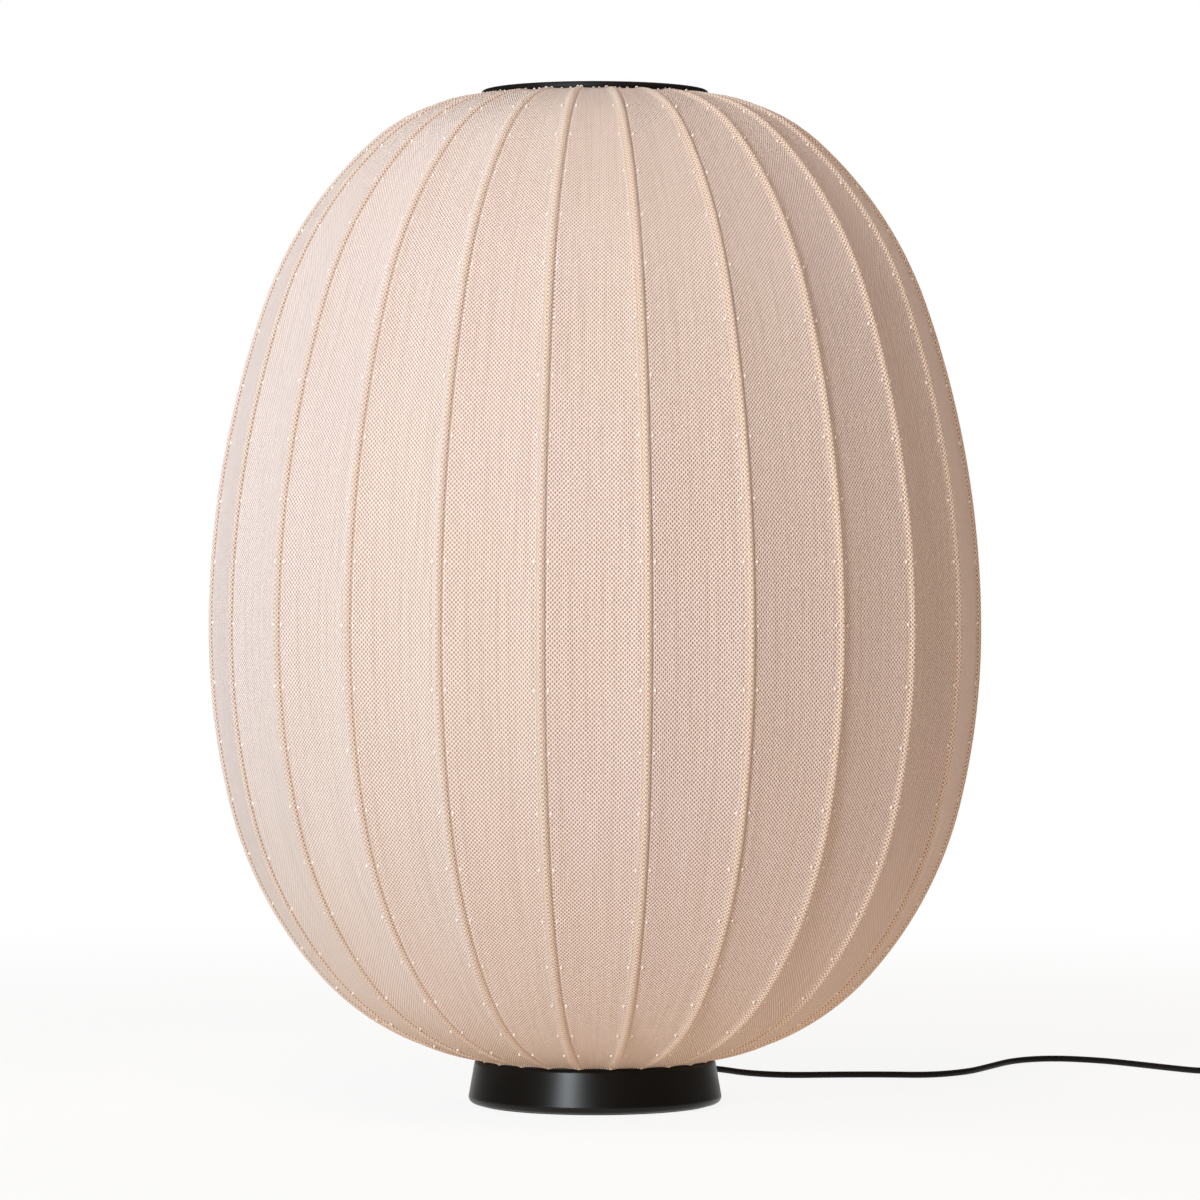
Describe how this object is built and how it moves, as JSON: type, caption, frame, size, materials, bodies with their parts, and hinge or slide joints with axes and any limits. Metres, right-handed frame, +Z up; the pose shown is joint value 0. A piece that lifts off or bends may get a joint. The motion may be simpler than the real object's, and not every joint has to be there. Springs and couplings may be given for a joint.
{
  "type": "knitted floor lamp",
  "caption": "Floor lamp with a barrel-shaped knit shade stretched over bowed rods between a top ring and a low weighted foot, with a bulb inside and a black cord with foot switch and plug.",
  "frame": {"origin": "floor point under the lamp's axis", "axes": "+Z up along the lamp's axis, -Y to the front, the cord leaves the foot at +Y and runs to +X"},
  "size_m": [1.1123, 0.6857, 0.852],
  "materials": {
    "knit": "open rib knit in pale peach yarn, matte and slightly see-through",
    "black_metal": "black satin powder coat",
    "ballast_iron": "bare casting",
    "zinc_steel": "zinc plated",
    "felt": "black pressed felt",
    "holder_plastic": "black moulded plastic",
    "insert_ceramic": "white moulded insulator",
    "contact_brass": "plain brass",
    "cap_aluminium": "plain screw cap",
    "bulb_white": "white moulded plastic",
    "opal_glass": "opal white",
    "cord_black": "black flexible sheath, satin",
    "tie_band": "black soft band",
    "switch_plastic": "black fine-textured plastic",
    "button_plastic": "black satin plastic",
    "spring_steel": "spring wire",
    "plug_plastic": "black moulded plastic",
    "pin_metal": "nickel plated",
    "rod_steel": "round spring steel rod"
  },
  "bodies": {
    "lamp": {"bulb_cap": "cap_aluminium", "bulb_globe": "opal_glass", "bulb_skirt": "bulb_white", "bulb_tip": "contact_brass", "coil_tie": "tie_band", "cord_coil": "cord_black", "cord_end": "cord_black", "cord_lead": "cord_black", "cord_tail": "cord_black", "foot_ballast": "ballast_iron", "foot_pad": "felt", "foot_plate": "zinc_steel", "foot_shell": "black_metal", "holder_cap": "holder_plastic", "holder_contact": "contact_brass", "holder_insert": "insert_ceramic", "holder_nut": "zinc_steel", "holder_sleeve": "holder_plastic", "inner_cable": "cord_black", "knit_shade": "knit", "lower_ring": "black_metal", "plug_body": "plug_plastic", "plug_pins": "pin_metal", "screw_shell": "contact_brass", "shade_rod_01": "rod_steel", "shade_rod_02": "rod_steel", "shade_rod_03": "rod_steel", "shade_rod_04": "rod_steel", "shade_rod_05": "rod_steel", "shade_rod_06": "rod_steel", "shade_rod_07": "rod_steel", "shade_rod_08": "rod_steel", "shade_rod_09": "rod_steel", "shade_rod_10": "rod_steel", "shade_rod_11": "rod_steel", "shade_rod_12": "rod_steel", "shade_rod_13": "rod_steel", "shade_rod_14": "rod_steel", "shade_rod_15": "rod_steel", "shade_rod_16": "rod_steel", "shade_rod_17": "rod_steel", "shade_rod_18": "rod_steel", "shade_rod_19": "rod_steel", "shade_rod_20": "rod_steel", "shade_rod_21": "rod_steel", "shade_rod_22": "rod_steel", "shade_rod_23": "rod_steel", "shade_rod_24": "rod_steel", "stem_collar": "black_metal", "stem_nut": "zinc_steel", "stem_tube": "black_metal", "strain_relief": "cord_black", "switch_base": "switch_plastic", "switch_cover": "switch_plastic", "switch_screws": "zinc_steel", "switch_spring": "spring_steel", "tie_screws": "zinc_steel", "top_ring": "black_metal"},
    "push_button": {"switch_button": "button_plastic"}
  },
  "joints": [
    {"name": "button_press", "type": "slide", "parent": "lamp", "child": "push_button", "axis": [0, 0, -1], "range_m": [0, 0.0035], "stiffness_N_per_m": 1500, "deforming": ["switch_spring"]}
  ]
}
